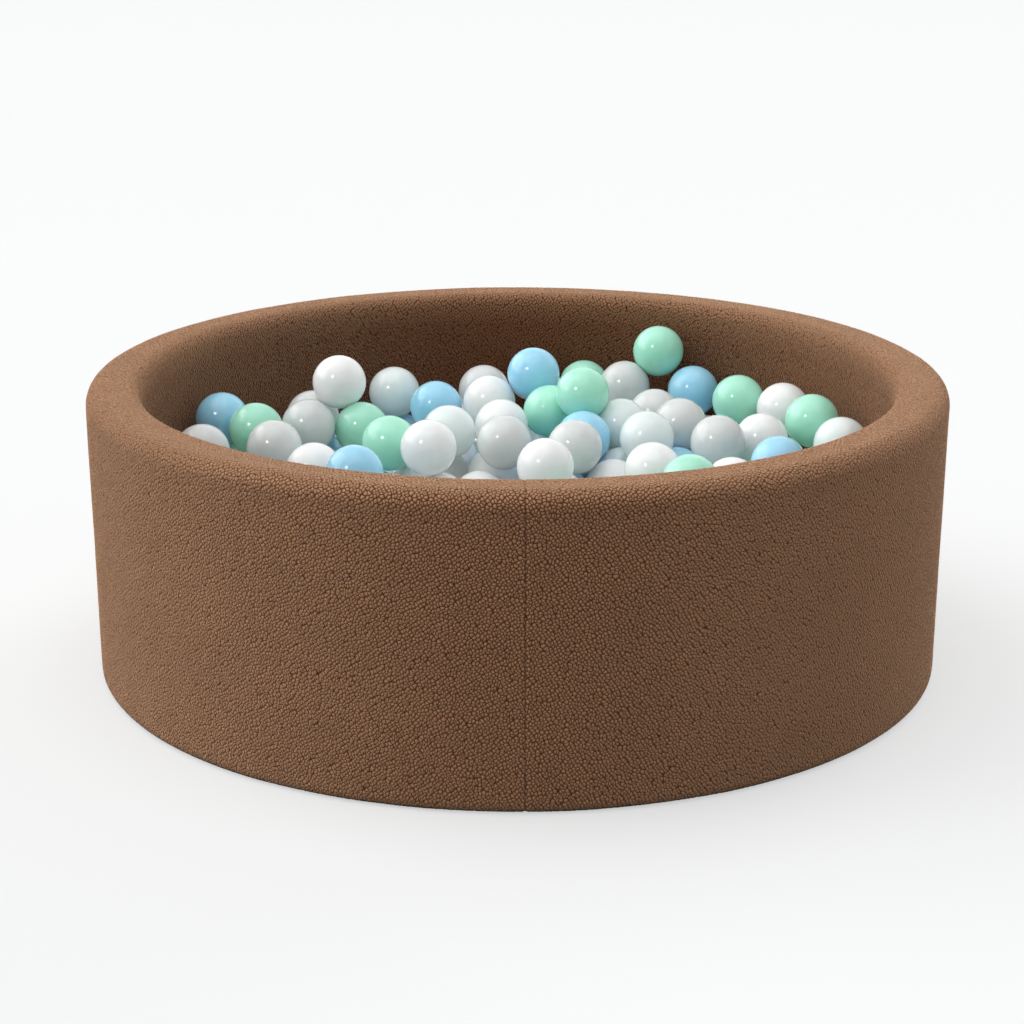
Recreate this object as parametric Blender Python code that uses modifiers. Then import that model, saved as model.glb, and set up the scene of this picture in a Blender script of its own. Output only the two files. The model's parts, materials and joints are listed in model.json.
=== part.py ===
"""Round foam ball pit for toddlers.

A foam wall and a foam floor mat are zipped into one soft cover, and the pit is filled with
loose play balls. Lengths are in metres, +Z is up, and the origin is the middle of the
underside. The wall cover's seam faces -Y and the zip runs round the back, at +Y.
"""
import math
import random

import bmesh
import bpy
from mathutils import Vector
from mathutils.bvhtree import BVHTree

# Clearances
SEAT_GAP = 0.0003          # between two pieces that rest on each other
COVER_CLEARANCE = 0.0005   # between the foam and the cover round it
CUT_OVERRUN = 0.004        # how far a cutter reaches past what it cuts
MERGE_DISTANCE = 0.00001   # points closer than this are one point

# Wall
OUTER_RADIUS = 0.450       # outside of the cover at half height
WALL_LEAN = 0.0015         # the rim stands out by this, and the foot draws in by it
WALL_THICKNESS = 0.053     # over both sides of the cover
PIT_HEIGHT = 0.310
COVER_THICKNESS = 0.003
RIM_OUTER_ROUND = 0.016
RIM_INNER_ROUND = 0.013
FOOT_ROUND = 0.011
FOOT_HEM = 0.004           # flat strip of the cover under the wall
FOAM_JOINT_WIDTH = 0.0008  # where the two ends of the foam strip meet

# Seam that closes the wall cover at the front
SEAM_WIDTH = 0.0016
SEAM_DEPTH = 0.0012

# Floor
UNDERSIDE_THICKNESS = 0.003
MAT_THICKNESS = 0.030
MAT_EDGE_ROUND = 0.004
LINING_THICKNESS = 0.0017

# Zip in the lower edge of the cover, round the back
ZIP_LEVEL = 0.022          # height of the row of teeth
ZIP_START_DEG = 20
ZIP_END_DEG = 160
ZIP_MOUTH_HEIGHT = 0.016   # opening in the cover that the zip fills
ZIP_MOUTH_END = 0.0015     # spare length of that opening at each end
TAPE_THICKNESS = 0.0008
TAPE_SINK = 0.0015         # from the face of the cover to the face of the tape
TOOTH_HEIGHT = 0.0027      # of one row of teeth
TOOTH_THICKNESS = 0.0024
STOP_LENGTH = 0.003
STOP_HEIGHT = 0.0056
STOP_THICKNESS = 0.0026
STOP_SPACING = 0.001       # clear of the slider, and of the end of the tape

# Slider and its pull
SLIDER_LENGTH = 0.012
SLIDER_RUN_GAP = 0.0006    # to the teeth
SLIDER_PLATE = 0.0012
SLIDER_FLANGE = 0.0011
BRIDGE_RADIUS = 0.0006
BRIDGE_INNER_HALF_LENGTH = 0.0022
BRIDGE_INNER_HEIGHT = 0.0023
PULL_LENGTH = 0.026
PULL_HALF_WIDTH = 0.0035
PULL_EYE_HALF_WIDTH = 0.0027
PULL_THICKNESS = 0.0012
PULL_BAR_HALF_WIDTH = 0.0008
PULL_WINDOW_END = 0.0044
PULL_WINDOW_HALF_WIDTH = 0.0013
PULL_SHOULDER = 0.0075     # where the pull reaches its full width

# Balls
BALL_DIAMETER = 0.060
HEAP_CLEARANCE = 0.001     # between a ball and the wall's cover
LOWER_LEVEL = 0.168        # height of the middles of the layer under the loose balls
LOWER_SINK = 0.006         # how far the top of the joined heap lies under those middles
SPIRAL_SPACING_SHARE = 1.207
SPIRAL_START_SHARE = 1.45
UNEVEN_SHARE = 0.267
HEAP_SEED = 15

# Facets
TURN_STEPS = 56
ROUND_STEPS = 3
ZIP_STEPS = 28
BALL_SEGMENTS = 10
BALL_RINGS = 6
LOWER_SEGMENTS = 7
LOWER_RINGS = 4
WIRE_RESOLUTION = 2
SHARP_EDGE_DEG = 40          # edges that turn by more than this stay sharp

# Places of the loose balls, as shares of the radius that their middles can reach. Each ball
# comes down on those before it, so the last four lie on top of the others.
BALL_PLACE_SHARES = (
    ("pearl", -0.40, 0.78),
    ("grey", -0.64, 0.47),
    ("grey", -0.64, 0.30),
    ("mint", -0.48, 0.35),
    ("mint", -0.38, 0.07),
    ("blue", -0.91, 0.36),
    ("mint", -0.79, 0.21),
    ("grey", -0.93, 0.02),
    ("grey", -0.72, 0.05),
    ("white", -0.59, -0.12),
    ("blue", -0.46, -0.31),
    ("white", 0.08, -0.16),
    ("mint", 0.22, 0.96),
    ("grey", 0.43, 0.52),
    ("blue", 0.57, 0.80),
    ("mint", 0.70, 0.60),
    ("white", 0.83, 0.49),
    ("mint", 0.90, 0.31),
    ("pearl", 0.97, 0.15),
    ("white", 0.74, 0.24),
    ("grey", 0.60, 0.14),
    ("grey", 0.50, 0.36),
    ("pearl", 0.32, 0.38),
    ("pearl", 0.39, 0.20),
    ("white", 0.39, -0.14),
    ("mint", 0.48, -0.41),
    ("white", 0.61, -0.25),
    ("blue", 0.76, -0.08),
    ("white", 0.05, 0.95),
    ("grey", -0.11, 0.82),
    ("blue", -0.26, 0.63),
    ("white", -0.09, 0.58),
    ("mint", 0.12, 0.68),
    ("pearl", -0.21, 0.27),
    ("grey", -0.04, 0.16),
    ("grey", 0.17, 0.09),
    ("white", -0.26, -0.05),
    ("blue", 0.20, 0.26),
    ("mint", 0.10, 0.48),
    ("grey", 0.35, 0.85),
    ("white", -0.05, 0.37),
    ("white", -0.55, 0.40),
    ("blue", 0.05, 0.60),
    ("mint", 0.20, 0.38),
    ("mint", 0.46, 0.88),
)

COLOURS = {
    "boucle_cover": ("8A6549", 0.95, 0.0),
    "foam": ("E9E2CE", 0.90, 0.0),
    "lining_cloth": ("6E5240", 0.85, 0.0),
    "underside_cloth": ("3A302A", 0.80, 0.0),
    "zip_cloth": ("6B4F3C", 0.85, 0.0),
    "zip_nylon": ("5A4232", 0.45, 0.0),
    "zip_metal": ("8C8378", 0.35, 1.0),
    "white_plastic": ("F2F4F4", 0.30, 0.0),
    "grey_plastic": ("C3C6C6", 0.30, 0.0),
    "pearl_plastic": ("E3EEEA", 0.30, 0.0),
    "mint_plastic": ("8FDDB3", 0.30, 0.0),
    "blue_plastic": ("8DC1E6", 0.30, 0.0),
}

# Radii and levels that follow from the sizes above
BALL_RADIUS = BALL_DIAMETER / 2
RIM_OUTER = OUTER_RADIUS + WALL_LEAN
FOOT_OUTER = OUTER_RADIUS - WALL_LEAN
RIM_INNER = RIM_OUTER - WALL_THICKNESS
FOOT_INNER = FOOT_OUTER - WALL_THICKNESS
HEM_EDGE = FOOT_OUTER - FOOT_ROUND - FOOT_HEM
FOAM_INSET = COVER_THICKNESS + COVER_CLEARANCE
FOAM_BOTTOM = UNDERSIDE_THICKNESS + COVER_CLEARANCE
MAT_TOP = FOAM_BOTTOM + MAT_THICKNESS
LINING_BOTTOM = MAT_TOP + SEAT_GAP
LINING_TOP = LINING_BOTTOM + LINING_THICKNESS
HEAP_RADIUS = FOOT_INNER - HEAP_CLEARANCE - BALL_RADIUS


def empty_scene():
    for item in list(bpy.data.objects):
        bpy.data.objects.remove(item, do_unlink=True)


def collection(name):
    group = bpy.data.collections.new(name)
    bpy.context.scene.collection.children.link(group)
    return group


def linear(hex_colour):
    values = [int(hex_colour[i:i + 2], 16) / 255 for i in (0, 2, 4)]
    return [v / 12.92 if v <= 0.04045 else ((v + 0.055) / 1.055) ** 2.4 for v in values]


def material(name):
    found = bpy.data.materials.get(name)
    if found:
        return found
    colour, roughness, metallic = COLOURS[name]
    made = bpy.data.materials.new(name)
    made.use_nodes = True
    shader = made.node_tree.nodes["Principled BSDF"]
    shader.inputs["Base Color"].default_value = (*linear(colour), 1)
    shader.inputs["Roughness"].default_value = roughness
    shader.inputs["Metallic"].default_value = metallic
    return made


def add_object(name, mesh, group, finish=None):
    item = bpy.data.objects.new(name, mesh)
    group.objects.link(item)
    if finish:
        mesh.materials.clear()
        mesh.materials.append(material(finish))
    return item


def mesh_from(bm, name):
    mesh = bpy.data.meshes.new(name)
    bm.to_mesh(mesh)
    bm.free()
    return mesh


def smooth(mesh):
    mesh.shade_smooth()
    mesh.set_sharp_from_angle(angle=math.radians(SHARP_EDGE_DEG))


def hide_cutter(item):
    item.hide_render = True
    item.display_type = "WIRE"


def boolean(target, tool, operation):
    modifier = target.modifiers.new(operation.title() + " " + tool.name, "BOOLEAN")
    modifier.operation = operation
    modifier.object = tool
    hide_cutter(tool)


def profile_mesh(name, points, closed):
    """A line of points in the XZ plane, for a Screw or an extrusion."""
    bm = bmesh.new()
    line = [bm.verts.new((r, 0, z)) for r, z in points]
    for first, second in zip(line, line[1:]):
        bm.edges.new((first, second))
    if closed:
        bm.edges.new((line[-1], line[0]))
    return mesh_from(bm, name)


def turned(name, points, closed, group, finish=None):
    item = add_object(name, profile_mesh(name, points, closed), group, finish)
    screw = item.modifiers.new("Turn", "SCREW")
    screw.steps = TURN_STEPS
    screw.render_steps = TURN_STEPS
    screw.use_merge_vertices = True
    screw.merge_threshold = MERGE_DISTANCE
    screw.use_smooth_shade = True
    return item


def disc(name, radius, bottom, thickness, group, finish):
    bm = bmesh.new()
    bmesh.ops.create_cone(bm, cap_ends=True, segments=TURN_STEPS, radius1=radius,
                          radius2=radius, depth=thickness)
    mesh = mesh_from(bm, name)
    smooth(mesh)
    item = add_object(name, mesh, group, finish)
    item.location.z = bottom + thickness / 2
    return item


def flat_piece(name, outlines, thickness, group, finish=None):
    """Closed outlines in the XY plane, the first the edge and the rest holes, as a plate."""
    curve = bpy.data.curves.new(name, "CURVE")
    curve.dimensions = "2D"
    curve.fill_mode = "BOTH"
    curve.extrude = thickness / 2
    for outline in outlines:
        spline = curve.splines.new("POLY")
        spline.points.add(len(outline) - 1)
        for point, (x, y) in zip(spline.points, outline):
            point.co = (x, y, 0, 1)
        spline.use_cyclic_u = True
    return curve_to_mesh(name, curve, group, finish)


def tube(name, points, radius, group):
    curve = bpy.data.curves.new(name, "CURVE")
    curve.dimensions = "3D"
    curve.bevel_depth = radius
    curve.bevel_resolution = WIRE_RESOLUTION
    curve.use_fill_caps = True
    spline = curve.splines.new("POLY")
    spline.points.add(len(points) - 1)
    for point, place in zip(spline.points, points):
        point.co = (*place, 1)
    return curve_to_mesh(name, curve, group)


def curve_to_mesh(name, curve, group, finish=None):
    drawn = bpy.data.objects.new(name + " curve", curve)
    group.objects.link(drawn)
    depsgraph = bpy.context.evaluated_depsgraph_get()
    mesh = bpy.data.meshes.new_from_object(drawn.evaluated_get(depsgraph))
    mesh.name = name
    bpy.data.objects.remove(drawn, do_unlink=True)
    bm = bmesh.new()
    bm.from_mesh(mesh)
    bmesh.ops.remove_doubles(bm, verts=bm.verts, dist=MERGE_DISTANCE)
    bmesh.ops.recalc_face_normals(bm, faces=bm.faces)
    bm.to_mesh(mesh)
    bm.free()
    smooth(mesh)
    return add_object(name, mesh, group, finish)


def arc(centre_x, centre_y, radius, start_deg, end_deg, steps):
    points = []
    for i in range(steps + 1):
        angle = math.radians(start_deg + (end_deg - start_deg) * i / steps)
        points.append((centre_x + radius * math.cos(angle), centre_y + radius * math.sin(angle)))
    return points


def arc_band(name, inner, outer, bottom, top, start_deg, end_deg, group, finish=None):
    """A strip that stands on edge and follows the wall."""
    outline = arc(0, 0, outer, start_deg, end_deg, ZIP_STEPS)
    outline += arc(0, 0, inner, end_deg, start_deg, ZIP_STEPS)
    item = flat_piece(name, [outline], top - bottom, group, finish)
    item.location.z = (top + bottom) / 2
    return item


def wall_profile(inset):
    """The wall's outline, up the inside, over the rim and down the outside to the floor."""
    inner_round = RIM_INNER_ROUND - inset
    outer_round = RIM_OUTER_ROUND - inset
    foot_round = FOOT_ROUND - inset
    top = PIT_HEIGHT - inset
    points = arc(RIM_INNER + inset + inner_round, top - inner_round, inner_round,
                 180, 90, ROUND_STEPS)
    points += arc(RIM_OUTER - inset - outer_round, top - outer_round, outer_round,
                  90, 0, ROUND_STEPS)
    points += arc(FOOT_OUTER - inset - foot_round, inset + foot_round, foot_round,
                  0, -90, ROUND_STEPS)
    points.append((HEM_EDGE, inset))
    return points


def wall_outside(height):
    """Radius of the wall's outside at a height on its straight part."""
    low, high = FOOT_ROUND, PIT_HEIGHT - RIM_OUTER_ROUND
    return FOOT_OUTER + (RIM_OUTER - FOOT_OUTER) * (height - low) / (high - low)


def make_wall_foam(parts, cutters):
    points = wall_profile(FOAM_INSET)
    points[:0] = [(FOOT_INNER + FOAM_INSET, FOAM_BOTTOM)]
    foam = turned("wall_foam", points, True, parts, "foam")
    bm = bmesh.new()
    bmesh.ops.create_cube(bm, size=1)
    size = Vector((FOAM_JOINT_WIDTH, WALL_THICKNESS + CUT_OVERRUN, PIT_HEIGHT + CUT_OVERRUN))
    bmesh.ops.scale(bm, vec=size, verts=bm.verts)
    cutter = add_object("foam joint", mesh_from(bm, "foam joint"), cutters)
    cutter.location = (0, -(OUTER_RADIUS - WALL_THICKNESS / 2), PIT_HEIGHT / 2)
    boolean(foam, cutter, "DIFFERENCE")


def make_wall_cover(parts, cutters):
    points = wall_profile(0)
    points[:0] = [(FOOT_INNER, LINING_BOTTOM)]
    cover = turned("wall_cover", points, False, parts, "boucle_cover")
    shell = cover.modifiers.new("Cloth", "SOLIDIFY")
    shell.thickness = COVER_THICKNESS
    shell.offset = -1
    shell.use_even_offset = True

    seam = add_object("cover seam", profile_mesh("cover seam", points, False), cutters)
    bm = bmesh.new()
    bm.from_mesh(seam.data)
    bmesh.ops.translate(bm, vec=(0, -SEAM_WIDTH / 2, 0), verts=bm.verts)
    edges = bmesh.ops.extrude_edge_only(bm, edges=bm.edges[:])["geom"]
    moved = [part for part in edges if isinstance(part, bmesh.types.BMVert)]
    bmesh.ops.translate(bm, vec=(0, SEAM_WIDTH, 0), verts=moved)
    bmesh.ops.recalc_face_normals(bm, faces=bm.faces)
    bm.to_mesh(seam.data)
    bm.free()
    seam.rotation_euler.z = math.radians(-90)
    depth = seam.modifiers.new("Depth", "SOLIDIFY")
    depth.thickness = 2 * SEAM_DEPTH
    depth.offset = 0
    depth.use_even_offset = True
    boolean(cover, seam, "DIFFERENCE")

    spare_deg = math.degrees(ZIP_MOUTH_END / OUTER_RADIUS)
    face = wall_outside(ZIP_LEVEL)
    mouth = arc_band("zip mouth", face - COVER_THICKNESS - CUT_OVERRUN, face + CUT_OVERRUN,
                     ZIP_LEVEL - ZIP_MOUTH_HEIGHT / 2, ZIP_LEVEL + ZIP_MOUTH_HEIGHT / 2,
                     ZIP_START_DEG - spare_deg, ZIP_END_DEG + spare_deg, cutters)
    boolean(cover, mouth, "DIFFERENCE")


def make_floor(parts):
    disc("underside", HEM_EDGE - SEAT_GAP, 0, UNDERSIDE_THICKNESS, parts, "underside_cloth")
    mat = disc("floor_mat", FOOT_INNER + FOAM_INSET - COVER_CLEARANCE, FOAM_BOTTOM,
               MAT_THICKNESS, parts, "foam")
    edge = mat.modifiers.new("Edge", "BEVEL")
    edge.width = MAT_EDGE_ROUND
    edge.segments = 1
    disc("floor_lining", FOOT_INNER - COVER_CLEARANCE, LINING_BOTTOM, LINING_THICKNESS,
         parts, "lining_cloth")


def make_zip(parts):
    """Two tapes, each with its row of teeth, and the stops past the ends of the teeth."""
    tape_face = wall_outside(ZIP_LEVEL) - TAPE_SINK
    tooth_back = tape_face + SEAT_GAP
    half_mouth = ZIP_MOUTH_HEIGHT / 2 - SEAT_GAP
    inset_deg = math.degrees((STOP_SPACING + STOP_LENGTH + SEAT_GAP) / OUTER_RADIUS)
    for side, sign in (("upper", 1), ("lower", -1)):
        near = ZIP_LEVEL + sign * SEAT_GAP / 2
        far = ZIP_LEVEL + sign * half_mouth
        arc_band("zip_tape_" + side, tape_face - TAPE_THICKNESS, tape_face, min(near, far),
                 max(near, far), ZIP_START_DEG, ZIP_END_DEG, parts, "zip_cloth")
        far = near + sign * TOOTH_HEIGHT
        arc_band("zip_teeth_" + side, tooth_back, tooth_back + TOOTH_THICKNESS, min(near, far),
                 max(near, far), ZIP_START_DEG + inset_deg, ZIP_END_DEG - inset_deg, parts,
                 "zip_nylon")

    bm = bmesh.new()
    bmesh.ops.create_cube(bm, size=1)
    size = Vector((STOP_THICKNESS, STOP_LENGTH, STOP_HEIGHT))
    bmesh.ops.scale(bm, vec=size, verts=bm.verts)
    bmesh.ops.translate(bm, vec=(tooth_back + STOP_THICKNESS / 2, 0, 0), verts=bm.verts)
    mesh = mesh_from(bm, "zip stop")
    inward_deg = math.degrees((STOP_SPACING + STOP_LENGTH / 2) / OUTER_RADIUS)
    for name, angle in (("zip_stop_open_end", ZIP_START_DEG + inward_deg),
                        ("zip_stop_closed_end", ZIP_END_DEG - inward_deg)):
        stop = add_object(name, mesh.copy(), parts, "zip_metal")
        stop.location.z = ZIP_LEVEL
        stop.rotation_euler.z = math.radians(angle)
    return tooth_back


def slider_angle_deg():
    """Where the slider stands with the zip closed, just short of its stop."""
    short = STOP_SPACING + STOP_LENGTH + STOP_SPACING + SLIDER_LENGTH / 2
    return ZIP_END_DEG - math.degrees(short / OUTER_RADIUS)


def make_slider(parts, cutters, tooth_back):
    """A channel over both rows of teeth, with a bridge for the pull."""
    under = tooth_back + TOOTH_THICKNESS + SLIDER_RUN_GAP
    plate_face = under + SLIDER_PLATE
    inside = TOOTH_HEIGHT + SLIDER_RUN_GAP
    outside = inside + SLIDER_FLANGE
    channel = [
        (tooth_back, inside),
        (tooth_back, outside),
        (plate_face, outside),
        (plate_face, -outside),
        (tooth_back, -outside),
        (tooth_back, -inside),
        (under, -inside),
        (under, inside),
    ]
    turn = math.radians(slider_angle_deg())
    slider = flat_piece("zip_slider", [channel], SLIDER_LENGTH, parts, "zip_metal")
    slider.location.z = ZIP_LEVEL
    slider.rotation_euler = (math.radians(90), 0, turn)

    leg = BRIDGE_INNER_HALF_LENGTH + BRIDGE_RADIUS
    crown = plate_face + BRIDGE_INNER_HEIGHT + BRIDGE_RADIUS
    sunk = plate_face - SLIDER_PLATE / 2
    path = [(sunk, 0, -leg), (crown - BRIDGE_RADIUS, 0, -leg), (crown, 0, -leg + BRIDGE_RADIUS),
            (crown, 0, leg - BRIDGE_RADIUS), (crown - BRIDGE_RADIUS, 0, leg), (sunk, 0, leg)]
    bridge = tube("slider bridge", path, BRIDGE_RADIUS, cutters)
    bridge.location = slider.location
    bridge.rotation_euler = slider.rotation_euler
    boolean(slider, bridge, "UNION")
    return plate_face, turn


def make_pull(parts, plate_face, turn):
    """The tab hangs on the bridge by a bar, and swings about that bar's upright axis."""
    end = PULL_LENGTH - PULL_HALF_WIDTH
    bar = PULL_BAR_HALF_WIDTH
    edge = [(-bar, -PULL_EYE_HALF_WIDTH), (PULL_WINDOW_END, -PULL_EYE_HALF_WIDTH),
            (PULL_SHOULDER, -PULL_HALF_WIDTH)]
    edge += arc(end, 0, PULL_HALF_WIDTH, -90, 90, 2 * ROUND_STEPS)
    edge += [(PULL_SHOULDER, PULL_HALF_WIDTH), (PULL_WINDOW_END, PULL_EYE_HALF_WIDTH),
             (-bar, PULL_EYE_HALF_WIDTH)]
    half = PULL_WINDOW_HALF_WIDTH
    window = [(bar, -half), (bar, half), (PULL_WINDOW_END, half), (PULL_WINDOW_END, -half)]
    hinge = bpy.data.objects.new("zip pull hinge", None)
    parts.objects.link(hinge)
    reach = plate_face + BRIDGE_INNER_HEIGHT / 2
    hinge.location = (reach * math.cos(turn), reach * math.sin(turn), ZIP_LEVEL)
    pull = flat_piece("zip_pull", [edge, window], PULL_THICKNESS, parts, "zip_metal")
    pull.parent = hinge
    pull.rotation_euler = (math.radians(90), 0, turn + math.radians(90))


def ball_mesh(name, segments, rings):
    bm = bmesh.new()
    bmesh.ops.create_uvsphere(bm, u_segments=segments, v_segments=rings, radius=BALL_RADIUS)
    mesh = mesh_from(bm, name)
    mesh.shade_smooth()
    return mesh


def lower_places():
    """Middles of the layer under the loose balls: a spiral that fills the pit evenly."""
    uneven = random.Random(HEAP_SEED)
    golden = math.pi * (3 - math.sqrt(5))
    spacing = SPIRAL_SPACING_SHARE * BALL_RADIUS
    height = UNEVEN_SHARE * BALL_RADIUS
    places = []
    while True:
        reach = spacing * math.sqrt(len(places) + SPIRAL_START_SHARE)
        if reach > HEAP_RADIUS:
            return places
        angle = golden * len(places)
        places.append((reach * math.cos(angle), reach * math.sin(angle),
                       LOWER_LEVEL + uneven.uniform(-height, height)))


def make_lower_balls(parts, cutters):
    """The heap under the loose balls as one piece: its top is the balls of the next layer."""
    bottom = LINING_TOP + SEAT_GAP
    top = LOWER_LEVEL - LOWER_SINK
    heap = disc("lower_balls", HEAP_RADIUS + BALL_RADIUS, bottom, top - bottom, parts,
                "white_plastic")
    one = ball_mesh("lower ball", LOWER_SEGMENTS, LOWER_RINGS)
    bm = bmesh.new()
    for place in lower_places():
        first = len(bm.verts)
        bm.from_mesh(one)
        bm.verts.ensure_lookup_table()
        bmesh.ops.translate(bm, vec=place, verts=bm.verts[first:])
    crowns = add_object("lower ball crowns", mesh_from(bm, "lower ball crowns"), cutters)
    boolean(heap, crowns, "UNION")
    return heap


def resting_height(x, y, mesh, faces, under):
    """The lowest height at which a ball over this place is clear of all that lies there."""
    corners = [vertex.co for vertex in mesh.vertices]
    low, high = LOWER_LEVEL, PIT_HEIGHT + BALL_DIAMETER
    while high - low > SEAT_GAP / 4:
        middle = (low + high) / 2
        place = Vector((x, y, middle))
        ball = BVHTree.FromPolygons([corner + place for corner in corners], faces)
        if any(ball.overlap(tree) for tree in under):
            low = middle
        else:
            high = middle
    return high + SEAT_GAP, corners


def finished_surface(item):
    """The object's surface in the world, with its modifiers."""
    depsgraph = bpy.context.evaluated_depsgraph_get()
    mesh = bpy.data.meshes.new_from_object(item.evaluated_get(depsgraph))
    mesh.transform(item.matrix_world)
    corners = [vertex.co.copy() for vertex in mesh.vertices]
    faces = [tuple(face.vertices) for face in mesh.polygons]
    bpy.data.meshes.remove(mesh)
    return BVHTree.FromPolygons(corners, faces)


def make_loose_balls(parts, heap):
    under = [finished_surface(heap)]
    counts = {}
    for colour, x_share, y_share in BALL_PLACE_SHARES:
        counts[colour] = counts.get(colour, 0) + 1
        name = f"{colour}_ball_{counts[colour]}"
        mesh = ball_mesh(name, BALL_SEGMENTS, BALL_RINGS)
        faces = [tuple(face.vertices) for face in mesh.polygons]
        x, y = x_share * HEAP_RADIUS, y_share * HEAP_RADIUS
        z, corners = resting_height(x, y, mesh, faces, under)
        ball = add_object(name, mesh, parts, colour + "_plastic")
        ball.location = (x, y, z)
        under.append(BVHTree.FromPolygons([corner + ball.location for corner in corners], faces))


def main():
    empty_scene()
    parts = collection("Ball pit")
    cutters = collection("Cutters")
    make_wall_foam(parts, cutters)
    make_wall_cover(parts, cutters)
    make_floor(parts)
    tooth_back = make_zip(parts)
    plate_face, turn = make_slider(parts, cutters, tooth_back)
    make_pull(parts, plate_face, turn)
    heap = make_lower_balls(parts, cutters)
    make_loose_balls(parts, heap)


main()
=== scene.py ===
"""Looks of a round foam ball pit: looped pile cover, foam, zip and a heap of play balls.

Lengths are in metres. The pit stands on the origin, +Z is up, its seam faces -Y and its zip
runs round the back. Every piece lies in the space that the construction's solids hold.
"""
import json
import math
import random
from functools import partial

import bmesh
import bpy
import numpy as np
from bpy.props import FloatProperty, FloatVectorProperty, PointerProperty
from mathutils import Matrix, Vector


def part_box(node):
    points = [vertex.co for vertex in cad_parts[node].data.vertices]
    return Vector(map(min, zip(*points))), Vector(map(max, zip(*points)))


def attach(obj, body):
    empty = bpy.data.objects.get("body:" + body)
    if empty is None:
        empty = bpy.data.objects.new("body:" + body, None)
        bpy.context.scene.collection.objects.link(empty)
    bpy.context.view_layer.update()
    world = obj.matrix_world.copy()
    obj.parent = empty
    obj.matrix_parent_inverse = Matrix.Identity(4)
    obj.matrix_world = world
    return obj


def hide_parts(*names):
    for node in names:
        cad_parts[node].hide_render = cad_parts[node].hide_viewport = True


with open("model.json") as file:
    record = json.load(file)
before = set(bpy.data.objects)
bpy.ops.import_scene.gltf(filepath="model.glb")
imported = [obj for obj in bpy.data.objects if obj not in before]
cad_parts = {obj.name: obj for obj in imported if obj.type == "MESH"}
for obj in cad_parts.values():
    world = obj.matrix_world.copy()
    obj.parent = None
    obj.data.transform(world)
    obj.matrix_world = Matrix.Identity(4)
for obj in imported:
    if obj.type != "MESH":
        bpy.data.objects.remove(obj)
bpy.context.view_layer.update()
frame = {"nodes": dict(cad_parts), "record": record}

bl_info = {
    "name": "Ball pit",
    "version": (1, 0, 0),
    "blender": (4, 5, 0),
    "location": "View3D > Sidebar > Ball pit",
    "description": "Builds a round foam ball pit with a looped pile cover and loose play balls",
    "category": "Add Mesh",
}

MM = 0.001

# Sizes read from the frame
RIM_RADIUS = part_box("wall_cover")[1].x
PIT_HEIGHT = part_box("wall_cover")[1].z
FOAM_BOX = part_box("wall_foam")
MAT_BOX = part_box("floor_mat")
LINING_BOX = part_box("floor_lining")
UNDERSIDE_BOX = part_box("underside")
HEAP_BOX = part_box("lower_balls")
TAPE_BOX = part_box("zip_tape_upper")
TEETH_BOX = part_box("zip_teeth_upper")

# Wall, as the construction has it
WALL_THICKNESS = 53 * MM
WALL_DRAW = 3 * MM              # how much narrower the foot is than the rim, each side
CLOTH_THICKNESS = 3 * MM
RIM_OUTER_ROUND = 16 * MM
RIM_INNER_ROUND = 13 * MM
FOOT_ROUND = 11 * MM
HEM_WIDTH = 4 * MM
FOOT_RADIUS = RIM_RADIUS - WALL_DRAW
HEM_EDGE = FOOT_RADIUS - FOOT_ROUND - HEM_WIDTH
SEAM_ANGLE = math.radians(-89.1)  # just past the middle of the front
MOUTH_EASE = 0.3 * MM           # between the zip's tapes and the edges of the cover's mouth
LIP = 0.2 * MM                  # from the mouth's edge to the plain face beside it
HIDDEN_FACET = 6 * MM           # spacing of the cover's mesh where the heap hides it
RELIEF_SHARE = 0.36             # of the pile's height that shows in the mesh
BUMP_SHARE = 0.8                # and in the material
CREASE = math.radians(50)       # past which an edge shows as sharp

# Zip, as the construction has it
ZIP_LEVEL = TAPE_BOX[0].z - 0.15 * MM   # middle of the gap between the tapes
TAPE_FACE = TAPE_BOX[1].y
TAPE_THICKNESS = 0.8 * MM
TAPE_ANGLES = (math.acos(TAPE_BOX[1].x / TAPE_FACE), math.acos(TAPE_BOX[0].x / TAPE_FACE))
TOOTH_FACE = TEETH_BOX[1].y
TOOTH_THICKNESS = 2.4 * MM
TOOTH_BACK = TOOTH_FACE - TOOTH_THICKNESS
TOOTH_SIZE = (TOOTH_THICKNESS, 0.95 * MM, 3.1 * MM)
STITCH_SIZE = (0.5 * MM, 1.7 * MM, 0.55 * MM)
TEETH_OFF = 1.2 * MM            # middle of a row of teeth, above or below the zip's line
STITCHES_OFF = 5.2 * MM         # and of a row of stitches
TEETH_ANGLES = (math.acos(TEETH_BOX[1].x / TOOTH_FACE), math.acos(TEETH_BOX[0].x / TOOTH_FACE))
MOUTH_TOP = TAPE_BOX[1].z + MOUTH_EASE
MOUTH_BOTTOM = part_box("zip_tape_lower")[0].z - MOUTH_EASE
MOUTH_FLOOR = TAPE_FACE - TAPE_THICKNESS - 0.15 * MM    # just behind the tapes
MOUTH_ANGLES = (TAPE_ANGLES[0] - MOUTH_EASE / TAPE_FACE, TAPE_ANGLES[1] + MOUTH_EASE / TAPE_FACE)

# Heap, as the construction has it
BALL_DIAMETER = 60 * MM
BALL_RADIUS = BALL_DIAMETER / 2
PARTING_HALF_WIDTH = 0.45 * MM
PIN_RADIUS = 2.4 * MM           # of the flat mark that the blow pin leaves
HEAP_RADIUS = HEAP_BOX[1].x - BALL_RADIUS
LOWER_LEVEL = 168 * MM
SPIRAL_SPACING_SHARE = 1.207
SPIRAL_START_SHARE = 1.45
UNEVEN_SHARE = 0.267
HEAP_SEED = 15
DEEP_SEED = 4
DEEP_TRIES = 900                # places tried for a ball below the layer under the loose ones
TOUCH = 0.2 * MM                # air between two balls that lie on each other
GOLDEN_ANGLE = math.pi * (3 - math.sqrt(5))
GOLDEN_SHARE = 0.618034

PIT = "pit"


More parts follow.
